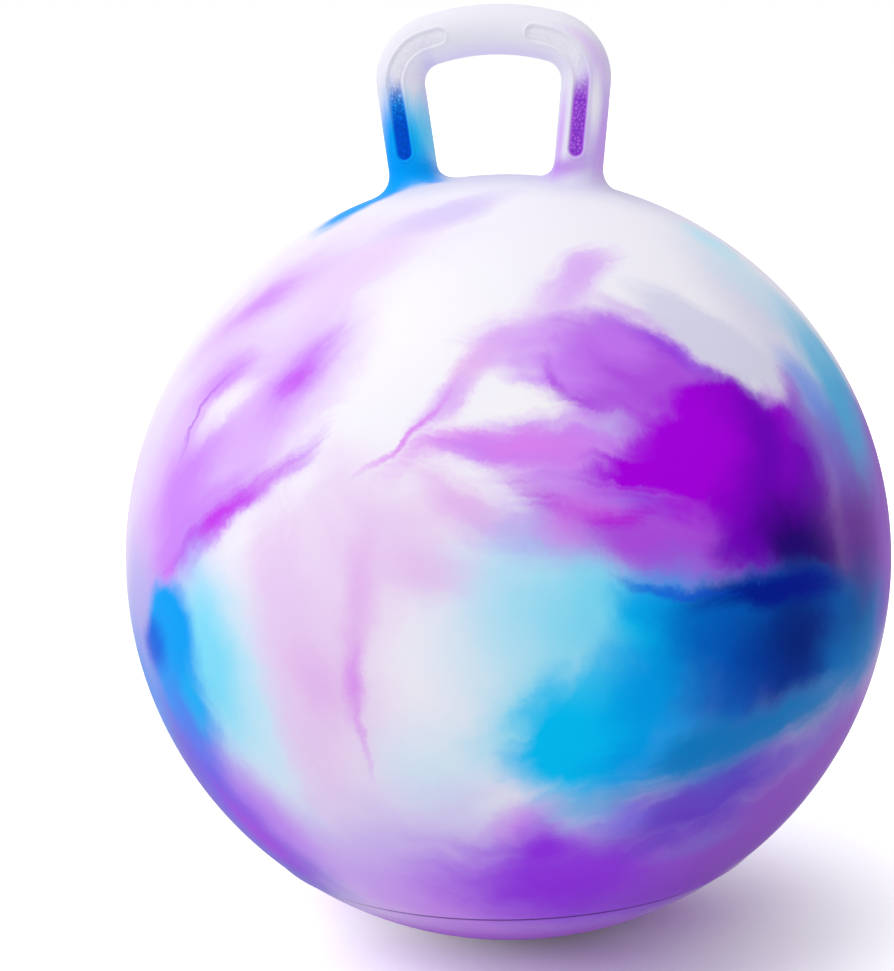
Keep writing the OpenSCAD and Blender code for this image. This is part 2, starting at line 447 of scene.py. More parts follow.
def make_ball():
    """The inflated skin with its moulded line and its flat, open at the two feet and at the valve."""
    rings = skin_rings()
    turns = [2 * pi * k / COLUMNS for k in range(COLUMNS)]
    points = [skin_point(angle, height, turn) for angle, height in rings for turn in turns]
    back = COLUMNS // 4
    window_rows = [k for k, ring in enumerate(rings) if abs(ring[0] - pi / 2) < WINDOW_ANGLE]
    low_row, high_row = window_rows[0], window_rows[-1]
    low_column, high_column = back - WINDOW_COLUMNS, back + WINDOW_COLUMNS
    faces = []
    for row in range(len(rings) - 1):
        for column in range(COLUMNS):
            if low_row <= row < high_row and low_column <= column < high_column:
                continue
            after = (column + 1) % COLUMNS
            faces.append([row * COLUMNS + column, (row + 1) * COLUMNS + column,
                          (row + 1) * COLUMNS + after, row * COLUMNS + after])

    def add(more_points, more_faces):
        first = len(points)
        points.extend(more_points)
        faces.extend([[first + k for k in face] for face in more_faces])

    # Flat on the floor
    last = (len(rings) - 1) * COLUMNS
    points.append(Vector((0, 0, -CENTRE_H)))
    faces.extend([[last + k, len(points) - 1, last + (k + 1) % COLUMNS] for k in range(COLUMNS)])
    # Cap with the two feet left open
    rim_turns = round_angles()
    rims = [[Vector((side * p.x, p.y, p.z)) for p in map(rim_point, rim_turns)] for side in (-1, 1)]
    add(*fill_between(points[:COLUMNS], rims, flatten_cap, lift_cap, on_open_cap, CAP_SPACING))
    # Window with the hole for the valve
    spots = [(low_row, c) for c in range(low_column, high_column)]
    spots += [(r, high_column) for r in range(low_row, high_row)]
    spots += [(high_row, c) for c in range(high_column, low_column, -1)]
    spots += [(r, low_column) for r in range(high_row, low_row, -1)]
    outline = [points[row * COLUMNS + column] for row, column in spots]
    hole_turns = [2 * pi * k / HOLE_STEPS for k in range(HOLE_STEPS)]
    hole_rings = [(HOLE_R + out, depth) for out, depth in hole_edge]
    hole = []
    for radius, depth in hole_rings:
        height = sqrt(BALL_R ** 2 - radius ** 2) - depth
        hole.append([Vector((radius * cos(t), height, radius * sin(t))) for t in hole_turns])
    reach_x = max(abs(p.x) for p in outline)
    reach_z = max(abs(p.z) for p in outline)

    def in_window(spot):
        return spot.length >= hole_rings[0][0] and abs(spot.x) <= reach_x and abs(spot.y) <= reach_z

    add(*fill_between(outline, [hole[0]], lambda p: Vector((p.x, p.z)), lift_window, in_window, CAP_SPACING))
    lip_faces = [[r * HOLE_STEPS + k, r * HOLE_STEPS + (k + 1) % HOLE_STEPS,
                  (r + 1) * HOLE_STEPS + (k + 1) % HOLE_STEPS, (r + 1) * HOLE_STEPS + k]
                 for r in range(len(hole) - 1) for k in range(HOLE_STEPS)]
    add([p for ring in hole for p in ring], lip_faces)
    # Depth share of the groove, which the material darkens with painted shade
    groove_marks = [max(0, -height / GROOVE_H) for angle, height in rings for turn in turns]
    groove_marks += [0] * (len(points) - len(groove_marks))
    ball = new_piece("ball_body", points, faces, {"groove": groove_marks})
    merge_points(ball)
    set_rim_normals(ball)
    return ball


# Handle
FINE_STEP = 0.42
COARSE_STEP = 2.4
RUN_STEP = 0.5
FILLET_STEPS = 16


def round_angles():
    """Angles of the points round the tube, close together on the grips."""
    quarter_l = TUBE_R * pi / 2
    fine_to = GRIP_HALF + LIP_W + FINE_STEP
    arcs = even_steps(0, fine_to, FINE_STEP)[:-1] + even_steps(fine_to, quarter_l, COARSE_STEP)[:-1]
    quarter = [arc / TUBE_R for arc in arcs]
    half = quarter + [pi / 2] + [pi - a for a in reversed(quarter[1:])]
    return half + [a + pi for a in half]


def make_handle():
    """The loop handle with flared feet and pebbled grips."""
    angles = round_angles()
    grips_end = GRIP_TO + LIP_W
    runs = even_steps(FOOT_RISE, grips_end, RUN_STEP) + even_steps(grips_end, half_l, COARSE_STEP)[1:]
    points = []
    marks = {"grip": [], "loop": [], "pebble_seam_shade": []}
    rows = 0
    for side in (1, -1):
        rings = []
        for k in range(FILLET_STEPS, 0, -1):
            rings.append([(fillet_point(k / FILLET_STEPS, a), (0, 1 - k / FILLET_STEPS, 0)) for a in angles])
        for s in runs:
            rings.append([(tube_point(s, a, TUBE_R + grip_height(s, a, side)), tube_marks(s, a, side))
                          for a in angles])
        if side < 0:
            rings = rings[-2::-1]
        for ring in rings:
            points.extend(Vector((side * point.x, point.y, point.z)) for point, shares in ring)
            for k, name in enumerate(marks):
                marks[name].extend(shares[k] for point, shares in ring)
            rows += 1
    count = len(angles)
    faces = [[row * count + k, row * count + (k + 1) % count,
              (row + 1) * count + (k + 1) % count, (row + 1) * count + k]
             for row in range(rows - 1) for k in range(count)]
    handle = new_piece("handle", points, faces, marks)
    merge_points(handle)
    set_rim_normals(handle)
    return handle


# Valve
VALVE_STEPS = 144
SOFT_EDGE = 0.5
CUT_SHARE = 0.45


def cup_radius(turn):
    """Radius of the cup's wall, wider at the nail notch on its +X side."""
    off = CUP_R * sin(turn)
    if cos(turn) <= 0 or abs(off) >= NOTCH_R:
        return CUP_R
    return max(CUP_R, CUP_R * cos(turn) + sqrt(NOTCH_R ** 2 - off ** 2))


def lathe(name, profile_at):
    """A closed ring of revolution about the valve's axis: profile_at gives the section at one turn."""
    points = []
    for k in range(VALVE_STEPS):
        turn = 2 * pi * k / VALVE_STEPS
        points += [Vector((r * cos(turn), h, r * sin(turn))) for r, h in profile_at(turn)]
    count = len(points) // VALVE_STEPS
    faces = []
    for k in range(VALVE_STEPS):
        here = k * count
        after = (k + 1) % VALVE_STEPS * count
        faces += [[here + i, here + (i + 1) % count, after + (i + 1) % count, after + i]
                  for i in range(count)]
    piece = new_piece(name, points, faces)
    merge_points(piece)
    return piece


def rounded(corners, radius, steps=4):
    """A section whose corners off the axis are rounded with a few points each."""
    made = []
    for k, corner in enumerate(corners):
        here = Vector(corner)
        before = Vector(corners[k - 1]) - here
        after = Vector(corners[(k + 1) % len(corners)]) - here
        cut = min(radius, before.length * CUT_SHARE, after.length * CUT_SHARE)
        if here.x == 0:
            made.append(corner)
            continue
        start = here + before.normalized() * cut
        end = here + after.normalized() * cut
        for step in range(steps + 1):
            t = step / steps
            spot = (1 - t) ** 2 * start + 2 * t * (1 - t) * here + t * t * end
            made.append((spot.x, spot.y))
    return made


def seat_section(turn):
    """Section of the valve seat: flush ring, cup, bore, inner tube and the flange under the skin."""
    cup = cup_radius(turn)
    ring_top = sqrt(BALL_R ** 2 - SEAT_R ** 2)
    neck_end = BALL_R - VALVE_L
    flange_base = FLANGE_TOP - FLANGE_T
    cup_end = flange_base - CUP_WALL
    corners = [(SEAT_R, ring_top), (cup, ring_top), (cup, CUP_BASE), (BORE_R, CUP_BASE),
               (BORE_R, neck_end), (NECK_R, neck_end), (NECK_R, cup_end), (SEAT_R, cup_end),
               (SEAT_R, flange_base), (FLANGE_R, flange_base), (FLANGE_R, FLANGE_TOP), (SEAT_R, FLANGE_TOP)]
    return rounded(corners, SOFT_EDGE)


def plug_section(turn):
    """Section of the plug: domed head with a soft edge, and a stem with barbed ribs."""
    head_top = sqrt((BALL_R - HEAD_SUNK) ** 2 - HEAD_R ** 2)
    dome = BALL_R - HEAD_SUNK
    tip = HEAD_BASE - STEM_L
    corners = [(0, dome), (HEAD_R, head_top), (HEAD_R, HEAD_BASE), (STEM_R, HEAD_BASE)]
    rib_step = STEM_L / (RIB_COUNT + 1)
    for k in range(1, RIB_COUNT + 1):
        rib = HEAD_BASE - k * rib_step
        corners += [(STEM_R, rib + RIB_L / 2), (STEM_R + RIB_H, rib + RIB_L / 2), (STEM_R, rib - RIB_L / 2)]
    corners += [(STEM_R, tip), (0, tip)]
    return rounded(corners, SOFT_EDGE)


# Materials
PALETTE = {
    "milk": (252, 250, 254),
    "frost": (248, 245, 255),
    "shell": (238, 237, 248),
    "pearl": (222, 221, 243),
    "mist": (234, 218, 251),
    "lavender": (214, 196, 249),
    "lilac": (222, 172, 251),
    "mallow": (206, 132, 250),
    "blush": (237, 206, 247),
    "rose": (233, 180, 244),
    "orchid": (224, 132, 246),
    "magenta": (200, 50, 242),
    "fuchsia": (188, 10, 228),
    "grape": (178, 76, 232),
    "purple": (172, 0, 232),
    "violet": (114, 0, 196),
    "indigo": (38, 0, 120),
    "plum": (152, 90, 206),
    "mauve": (112, 58, 160),
    "dusk": (132, 114, 216),
    "periwinkle": (118, 104, 242),
    "cornflower": (100, 152, 244),
    "ice": (200, 238, 255),
    "sky": (128, 226, 255),
    "lagoon": (72, 184, 234),
    "cyan": (0, 198, 255),
    "azure": (0, 164, 252),
    "cerulean": (0, 162, 244),
    "cobalt": (0, 116, 212),
    "royal": (0, 86, 226),
    "sapphire": (0, 72, 184),
    "navy": (0, 40, 134),
    "ultramarine": (0, 22, 150),
    "teal": (0, 126, 200),
    "slate": (128, 188, 242),
    "haze": (192, 182, 242),
    "amethyst": (152, 48, 236),
    "iris": (104, 58, 208),
    # Dark violet painted into the moulded groove as shade
    "painted_groove_shade": (58, 26, 96),
}
FULL = 255

# The standard curve from screen colours to light
CURVE_KNEE = 0.04045
CURVE_SLOPE = 12.92
CURVE_LIFT = 0.055
CURVE_POWER = 2.4


def linear(colour):
    """A named colour as the linear values that shaders take."""
    made = []
    for value in PALETTE[colour]:
        share = value / FULL
        curved = ((share + CURVE_LIFT) / (1 + CURVE_LIFT)) ** CURVE_POWER
        made.append(share / CURVE_SLOPE if share <= CURVE_KNEE else curved)
    return (*made, 1)


def new_node(tree, kind, inputs, **settings):
    """Adds a shader node, with its settings and with values or links on its inputs."""
    made = tree.nodes.new("ShaderNode" + kind)
    for name, value in settings.items():
        setattr(made, name, value)
    for name, value in inputs.items():
        if isinstance(value, bpy.types.NodeSocket):
            tree.links.new(value, made.inputs[name])
        else:
            made.inputs[name].default_value = value
    return made


def mix_colours(tree, amount, below, above):
    """Lays one colour over another."""
    return new_node(tree, "Mix", {0: amount, 6: below, 7: above}, data_type="RGBA").outputs[2]


# A stroke runs from its first point to its last, bent through one between them where it has three.
# Its width is the half-width in millimetres, its edge fades over a share of that, and wisps feather it.
# The lists of strokes hold these values in order.
Stroke = namedtuple("Stroke", "colour points width soft strength wisp")

# Marbling that the photograph shows, from pale tints to strong colours: places are pixels
front_strokes = [
    # Pale tints
    ("pearl", [(400, 192), (640, 200)], 32, 0.8, 1, 0),
    ("pearl", [(730, 270), (810, 390)], 40, 0.8, 0.9, 0.1),
    ("mist", [(360, 250), (190, 430)], 66, 0.6, 0.95, 0.15),
    ("mist", [(186, 400), (150, 560)], 70, 0.6, 0.95, 0.1),
    ("milk", [(446, 284), (380, 376)], 38, 0.8, 1, 0.15),
    ("blush", [(300, 560), (330, 770)], 44, 0.8, 0.9, 0.15),
    ("blush", [(350, 510), (450, 590)], 36, 0.8, 0.9, 0.15),
    ("frost", [(430, 620), (440, 710)], 26, 0.8, 0.8, 0.15),
    ("ice", [(410, 766), (470, 780)], 30, 0.9, 0.6, 0.15),
    ("frost", [(440, 476), (520, 490)], 12, 0.8, 0.9, 0.2),
    ("lavender", [(300, 850), (480, 840)], 46, 0.7, 0.95, 0.12),
    # Lilac streaks on the upper left
    ("lavender", [(492, 198), (446, 214), (398, 232)], 14, 0.7, 0.7, 0.25),
    ("blush", [(400, 244), (310, 306)], 16, 0.8, 0.7, 0.25),
    ("lilac", [(296, 280), (258, 306), (206, 350)], 20, 0.8, 0.8, 0.25),
    ("mallow", [(284, 290), (246, 314)], 9, 0.8, 0.6, 0.25),
    ("lilac", [(250, 358), (196, 400)], 20, 0.8, 0.75, 0.25),
    ("mallow", [(242, 366), (224, 381), (204, 398)], 9, 0.7, 0.75, 0.25),
    ("lilac", [(330, 338), (262, 420)], 26, 0.8, 0.85, 0.25),
    ("lilac", [(270, 400), (236, 480)], 22, 0.8, 0.8, 0.25),
    ("mallow", [(318, 348), (296, 370), (272, 402)], 13, 0.8, 0.95, 0.3),
    ("magenta", [(302, 366), (284, 388)], 7, 0.8, 0.5, 0.3),
    ("lilac", [(206, 440), (150, 580)], 44, 0.7, 0.9, 0.15),
    ("frost", [(242, 390), (220, 412), (196, 446)], 9, 0.6, 0.8, 0.15),
    ("grape", [(222, 384), (200, 412), (180, 458)], 1.6, 0.8, 0.6, 0.1),
    ("mallow", [(206, 452), (164, 530)], 20, 0.8, 0.85, 0.25),
    ("mallow", [(316, 444), (276, 482), (244, 500)], 7, 0.8, 0.85, 0.25),
    ("mallow", [(244, 496), (160, 574)], 20, 0.6, 0.9, 0.25),
    ("magenta", [(246, 496), (212, 526), (168, 570)], 6, 0.8, 0.9, 0.25),
    ("frost", [(306, 484), (254, 522), (208, 572)], 9, 0.5, 0.85, 0.15),
    # Two streaks that part in the middle
    ("rose", [(516, 334), (476, 356), (446, 404)], 8, 0.8, 0.85, 0.2),
    ("lilac", [(464, 384), (424, 424)], 7, 0.7, 0.8, 0.2),
    ("orchid", [(446, 400), (412, 436), (378, 464)], 2.2, 0.8, 0.85, 0.15),
    ("orchid", [(418, 453), (470, 440), (536, 462)], 7.5, 0.8, 0.85, 0.2),
    ("mallow", [(456, 446), (530, 458)], 5, 0.8, 0.7, 0.2),
    ("rose", [(432, 484), (478, 516), (530, 536)], 11, 0.8, 0.9, 0.2),
    # Purple mass on the right
    ("lilac", [(600, 256), (564, 284)], 12, 0.8, 0.85, 0.3),
    ("lilac", [(576, 286), (548, 330)], 16, 0.8, 0.65, 0.25),
    ("lilac", [(484, 342), (550, 340)], 15, 0.8, 0.85, 0.25),
    ("mallow", [(550, 362), (670, 378)], 33, 0.4, 0.97, 0.2),
    ("grape", [(604, 344), (700, 396)], 32, 0.6, 0.9, 0.2),
    ("amethyst", [(634, 332), (680, 352), (730, 388)], 6, 0.8, 0.7, 0.2),
    ("grape", [(560, 398), (650, 412)], 9, 0.7, 0.8, 0.25),
    ("grape", [(544, 368), (568, 396), (612, 413)], 3, 0.7, 0.7, 0.15),
    ("milk", [(488, 408), (556, 408)], 12, 0.5, 0.95, 0.15),
    ("pearl", [(660, 302), (716, 342), (790, 388)], 17, 0.3, 0.95, 0.1),
    ("mallow", [(500, 444), (640, 440)], 15, 0.7, 0.95, 0.2),
    ("orchid", [(500, 446), (580, 452)], 11, 0.7, 0.9, 0.25),
    ("haze", [(596, 424), (640, 426)], 7, 0.8, 0.5, 0.25),
    ("mallow", [(530, 482), (640, 486)], 17, 0.7, 0.85, 0.2),
    ("mallow", [(520, 536), (640, 540)], 17, 0.7, 0.9, 0.2),
    ("grape", [(570, 524), (740, 526)], 30, 0.5, 0.97, 0.2),
    ("grape", [(620, 560), (740, 570)], 20, 0.6, 0.95, 0.2),
    ("periwinkle", [(600, 490), (660, 498)], 9, 0.8, 0.5, 0.25),
    ("fuchsia", [(544, 496), (592, 514), (666, 508)], 6, 0.8, 0.85, 0.35),
    # Strong purple
    ("purple", [(668, 450), (800, 466)], 42, 0.25, 1, 0.15),
    ("purple", [(686, 402), (745, 404)], 16, 0.3, 1, 0.15),
    ("purple", [(596, 467), (690, 470)], 11, 0.5, 1, 0.3),
    ("purple", [(780, 416), (818, 500)], 24, 0.4, 1, 0.15),
    ("purple", [(750, 530), (816, 540)], 38, 0.35, 1, 0.15),
    ("grape", [(786, 382), (804, 416)], 9, 0.8, 0.7, 0.25),
    ("violet", [(742, 398), (772, 450), (762, 520)], 15, 0.8, 0.95, 0.2),
    ("violet", [(772, 510), (764, 566)], 30, 0.8, 0.95, 0.15),
    ("violet", [(800, 440), (820, 540)], 24, 0.8, 0.9, 0.15),
    ("indigo", [(784, 548), (840, 560)], 28, 0.7, 1, 0.12),
    # Right edge: plum and mauve that are partly the vinyl's own violet and partly painted shade on the
    # ball's darker right side
    ("plum", [(856, 430), (884, 590)], 66, 0.2, 1, 0.06),
    ("mauve", [(848, 490), (864, 580)], 36, 0.8, 0.9, 0.15),
    ("dusk", [(808, 408), (846, 470)], 22, 0.7, 0.9, 0.2),
    ("lagoon", [(800, 326), (838, 386), (862, 446)], 36, 0.5, 0.9, 0.15),
    ("ice", [(698, 232), (724, 252)], 18, 0.8, 0.95, 0.2),
    ("ice", [(712, 250), (790, 320)], 30, 0.8, 0.5, 0.2),
]

# Tint round the base: places are longitudes and latitudes
base_strokes = [
    ("mallow", [(-140, -60), (-77, -64), (-20, -60)], 46, 0.6, 0.95, 0.05),
]

# Marbling that lies over that tint: places are pixels
later_strokes = [
    # Violet round the base
    # Plum along the lower right limb: partly the vinyl's violet, partly painted shade on the darker right
    # side
    ("plum", [(680, 888), (794, 796)], 50, 0.5, 0.95, 0.06),
    ("mallow", [(400, 905), (560, 905)], 60, 0.8, 0.85, 0.1),
    ("amethyst", [(560, 900), (690, 880)], 50, 0.8, 0.85, 0.1),
    ("amethyst", [(490, 880), (660, 860)], 44, 0.7, 0.95, 0.15),
    # Plum along the lower right limb: partly the vinyl's violet, partly painted shade on the darker right
    # side
    ("plum", [(700, 860), (866, 690)], 60, 0.6, 0.97, 0.1),
    ("mallow", [(510, 828), (544, 812)], 13, 0.8, 0.8, 0.15),
    ("amethyst", [(526, 852), (566, 842)], 17, 0.8, 0.95, 0.15),
    ("slate", [(560, 804), (640, 784)], 19, 0.6, 0.95, 0.15),
    ("iris", [(640, 826), (760, 768)], 32, 0.6, 0.95, 0.15),
    ("dusk", [(786, 756), (846, 705)], 12, 0.8, 0.6, 0.25),
    ("dusk", [(670, 856), (736, 826)], 9, 0.8, 0.6, 0.25),
    # Blue mass
    ("ice", [(520, 600), (550, 700)], 44, 0.9, 0.97, 0.1),
    ("sky", [(586, 600), (612, 650)], 26, 0.8, 0.9, 0.1),
    ("sky", [(506, 740), (570, 690)], 20, 0.8, 0.9, 0.1),
    ("cyan", [(552, 756), (640, 700)], 38, 0.3, 1, 0.15),
    ("cyan", [(650, 610), (646, 700)], 26, 0.4, 1, 0.1),
    ("cerulean", [(670, 620), (680, 740)], 38, 0.6, 0.97, 0.1),
    ("sky", [(516, 572), (576, 640)], 30, 0.9, 0.6, 0.1),
    ("sky", [(590, 588), (626, 612)], 15, 0.8, 0.9, 0.1),
    ("cyan", [(632, 598), (656, 634)], 14, 0.8, 0.95, 0.1),
    ("cerulean", [(656, 606), (690, 618), (730, 626)], 16, 0.6, 1, 0.1),
    ("cobalt", [(740, 640), (736, 740)], 31, 0.8, 0.97, 0.1),
    ("cobalt", [(720, 632), (800, 626), (872, 636)], 34, 0.25, 1, 0.06),
    ("sapphire", [(740, 660), (820, 670)], 40, 0.8, 0.97, 0.1),
    # Navy on the right of the blue mass: partly the vinyl's own blue, partly painted shade on the darker
    # right side
    ("navy", [(790, 610), (806, 664)], 32, 0.9, 1, 0.1),
    ("ultramarine", [(728, 598), (784, 590), (846, 580)], 9, 0.6, 0.95, 0.1),
    ("royal", [(640, 584), (680, 593), (724, 599)], 3, 0.8, 0.7, 0.1),
    ("teal", [(690, 766), (776, 722), (866, 656)], 14, 0.7, 0.9, 0.15),
    ("teal", [(850, 640), (876, 625)], 34, 0.8, 0.9, 0.15),
    # Left side
    ("cornflower", [(142, 640), (178, 738)], 60, 0.5, 0.97, 0.06),
    ("dusk", [(200, 770), (240, 826), (304, 880)], 60, 0.4, 0.97, 0.06),
    ("ice", [(230, 640), (268, 780)], 32, 0.8, 0.95, 0.1),
    ("sky", [(200, 596), (222, 720)], 28, 0.7, 0.97, 0.1),
    ("haze", [(134, 570), (144, 630)], 34, 0.8, 0.8, 0.1),
    ("azure", [(176, 614), (162, 646)], 28, 0.3, 1, 0.1),
    ("azure", [(170, 630), (180, 690), (208, 750)], 30, 0.4, 1, 0.12),
    ("royal", [(150, 650), (160, 642)], 14, 0.7, 0.8, 0.15),
    ("lavender", [(236, 770), (300, 836)], 22, 0.8, 0.85, 0.15),
    ("periwinkle", [(200, 752), (230, 798), (290, 860)], 34, 0.8, 0.9, 0.1),
    ("mallow", [(246, 790), (312, 854)], 20, 0.9, 0.65, 0.1),
    ("grape", [(236, 810), (300, 868)], 18, 0.9, 0.8, 0.15),
    ("blush", [(276, 560), (288, 660), (330, 800)], 18, 0.7, 0.9, 0.25),
    ("rose", [(300, 660), (330, 700)], 14, 0.8, 0.6, 0.25),
    ("rose", [(362, 552), (348, 640)], 9, 0.9, 0.75, 0.2),
    ("orchid", [(347, 650), (352, 708)], 6, 0.9, 0.7, 0.2),
    ("orchid", [(352, 700), (368, 764)], 2.4, 0.9, 0.45, 0.2),
    ("rose", [(404, 566), (456, 582)], 11, 0.9, 0.45, 0.2),
    # Finer shades in the purple
    ("mallow", [(594, 336), (640, 350)], 12, 0.8, 0.65, 0.2),
    ("cornflower", [(788, 366), (826, 412)], 12, 0.8, 0.7, 0.2),
    ("purple", [(628, 448), (676, 434)], 11, 0.8, 0.85, 0.2),
    ("orchid", [(562, 500), (622, 496)], 9, 0.8, 0.5, 0.25),
    ("orchid", [(546, 526), (580, 530)], 10, 0.8, 0.55, 0.2),
    ("violet", [(722, 556), (764, 556)], 10, 0.8, 0.75, 0.15),
    ("indigo", [(784, 555), (814, 555)], 9, 0.8, 0.6, 0.12),
    # Finer shades in the blue
    ("cerulean", [(606, 772), (690, 742)], 16, 0.7, 0.9, 0.12),
    ("teal", [(668, 764), (724, 728)], 14, 0.7, 0.85, 0.12),
    ("cyan", [(522, 770), (556, 762)], 10, 0.8, 0.55, 0.12),
    ("navy", [(848, 590), (864, 606)], 26, 0.9, 0.5, 0.1),
    ("cyan", [(192, 690), (204, 724)], 11, 0.8, 0.5, 0.12),
    ("periwinkle", [(594, 826), (640, 818)], 11, 0.8, 0.6, 0.15),
    ("iris", [(750, 772), (790, 752)], 13, 0.8, 0.5, 0.15),
]

# Marbling on the back, in the same colours and sizes: places are longitudes and latitudes
back_strokes = [
    ("mallow", [(-24, -68), (8, -60), (40, -68)], 42, 0.6, 0.95, 0.05),
    ("mallow", [(140, -68), (172, -60), (204, -68)], 42, 0.6, 0.95, 0.05),
    ("mist", [(40, 58), (150, 50)], 80, 0.7, 0.95, 0.12),
    ("lilac", [(150, 30), (190, 14)], 60, 0.7, 0.9, 0.12),
    ("blush", [(110, 10), (150, 0)], 70, 0.7, 0.9, 0.12),
    ("milk", [(110, 30), (136, 36)], 34, 0.8, 0.95, 0.12),
    ("lavender", [(50, 40), (96, 12)], 74, 0.9, 0.85, 0.1),
    ("ice", [(50, -4), (116, -22)], 66, 0.9, 0.95, 0.1),
    ("lilac", [(46, 32), (92, 42)], 50, 0.9, 0.85, 0.12),
    ("lagoon", [(44, -8), (86, -14)], 48, 0.9, 0.85, 0.1),
    ("lavender", [(60, -34), (140, -34)], 54, 0.9, 0.9, 0.1),
    ("blush", [(130, 20), (156, 30)], 50, 0.9, 0.8, 0.12),
    ("plum", [(4, 14), (36, 22)], 58, 0.6, 0.97, 0.1),
    ("purple", [(30, 16), (64, 30)], 42, 0.6, 1, 0.12),
    ("violet", [(30, 12), (48, 22)], 24, 0.8, 0.9, 0.12),
    ("mallow", [(60, 34), (100, 40)], 32, 0.8, 0.9, 0.12),
    ("orchid", [(70, 20), (96, 16), (118, 26)], 12, 0.6, 0.9, 0.15),
    ("plum", [(8, -38), (60, -44)], 54, 0.6, 0.97, 0.1),
    ("amethyst", [(60, -48), (150, -48)], 60, 0.7, 0.95, 0.1),
    ("haze", [(130, -34), (180, -34)], 40, 0.8, 0.9, 0.12),
    ("cobalt", [(14, -10), (60, -14)], 38, 0.7, 1, 0.1),
    ("cyan", [(58, -16), (90, -20)], 34, 0.7, 1, 0.12),
    ("sky", [(90, -14), (116, -8)], 40, 0.8, 0.9, 0.12),
    ("periwinkle", [(160, -26), (176, -22), (196, -30)], 32, 0.5, 0.95, 0.1),
    ("azure", [(192, -8), (178, -10), (164, -16)], 28, 0.4, 1, 0.12),
    ("sky", [(166, -12), (150, -18)], 26, 0.8, 0.9, 0.12),
    ("mallow", [(192, 8), (172, 18), (152, 34)], 26, 0.7, 0.95, 0.15),
    ("magenta", [(190, 4), (174, 14), (158, 26)], 9, 0.7, 0.95, 0.2),
    ("rose", [(120, -2), (136, -12), (140, -30)], 14, 0.7, 0.9, 0.15),
]

# Colours of the handle: places are pixels on its front
handle_strokes = [
    ("shell", [(384, 60), (604, 60)], 80, 0.1, 1, 0),
    # Painted shade: a faint lilac line along the arch's inner lower edge
    ("mist", [(440, 60), (505, 52), (566, 66)], 5, 0.9, 0.5, 0.2),
    # Right leg
    ("lavender", [(600, 66), (592, 186)], 13, 0.7, 0.95, 0.2),
    ("lilac", [(572, 34), (592, 50), (604, 88)], 3, 0.8, 0.45, 0.25),
    ("mallow", [(606, 106), (597, 180)], 4.5, 0.8, 0.5, 0.2),
    ("frost", [(596, 78), (593, 128)], 3, 0.8, 0.9, 0.2),
    ("lilac", [(563, 100), (555, 172)], 2.5, 0.8, 0.8, 0.2),
    ("grape", [(534, 182), (576, 164)], 6, 0.9, 0.75, 0.1),
    # Left leg
    ("haze", [(427, 76), (436, 172)], 6, 0.8, 0.9, 0.1),
    ("sky", [(412, 112), (424, 176)], 9, 0.7, 0.9, 0.25),
    ("cyan", [(410, 118), (414, 190)], 8, 0.7, 0.95, 0.3),
    ("azure", [(392, 106), (400, 200)], 10, 0.6, 1, 0.2),
    ("azure", [(394, 182), (440, 184)], 12, 0.5, 1, 0.1),
]
grip_strokes = [
    ("azure", [(396, 106), (404, 176)], 15, 0.3, 0.95, 0.2),
    ("royal", [(398, 122), (404, 180)], 15, 0.4, 0.95, 0.2),
    ("grape", [(581, 96), (570, 176)], 15, 0.3, 0.9, 0.2),
]
# Painted shade in the low seams between the pebbles: darker blue and violet over the grips' floors
seam_shade_strokes = [
    ("sapphire", [(395, 98), (404, 176)], 15, 0.3, 0.75, 0.2),
    ("violet", [(581, 98), (570, 176)], 15, 0.3, 0.75, 0.2),
]

# Blue that runs from the left foot down the ball
foot_strokes = [
    ("azure", [(394, 184), (438, 182)], 9, 0.6, 1, 0.1),
    ("azure", [(416, 176), (372, 200), (330, 224)], 18, 0.4, 1, 0.15),
]

# Strokes: lanes of the feathering, its waver along them, and the least length over width
STREAKS = 2.4
WAVER = 7
LEAST_STRETCH = 1.01

# Noises of the materials, as scale and detail
BROAD_NOISE = (9, 2)
FINE_NOISE = (42, 5)
GRAIN_NOISE = (380, 3)
DRIFT_NOISE = (14, 3)
SKIN_CLOUDS = (60, 4)
SKIN_PEEL = (700, 2)
SMALL_CLOUDS = (90, 4)
SMALL_PEEL = (1500, 2)

# How far the noises push the marbling about, in metres
WARP_BROAD = 0.016
WARP_FINE = 0.016
WARP_GRAIN = 0.0045
NOISE_MIDDLE = 0.5

# Satin finishes: range of roughness, gloss, and the noise, strength and depth of the peel
Satin = namedtuple("Satin", "rough_low rough_high gloss peel strength depth")
SKIN_SATIN = Satin(0.36, 0.48, 0.02, SKIN_PEEL, 0.06, 0.0004)
SEAT_SATIN = Satin(0.34, 0.5, 0.3, SMALL_PEEL, 0.08, 0.0003)
PLUG_SATIN = Satin(0.32, 0.46, 0.3, SMALL_PEEL, 0.08, 0.0003)

# Share of the dark violet painted into the groove as shade, and the range of the faint clouds in plain vinyl
GROOVE_SHADE = 0.95
TINT_FROM = 0.35
TINT_TO = 0.75
TINT_MOST = 0.6


def calculate(tree, operation, *values):
    """The result of a calculation with numbers."""
    return new_node(tree, "Math", dict(enumerate(values)), operation=operation).outputs[0]


def measure(tree, operation, place, vector):
    """A number worked out from a place and a fixed vector."""
    return new_node(tree, "VectorMath", {0: place, 1: vector}, operation=operation).outputs["Value"]


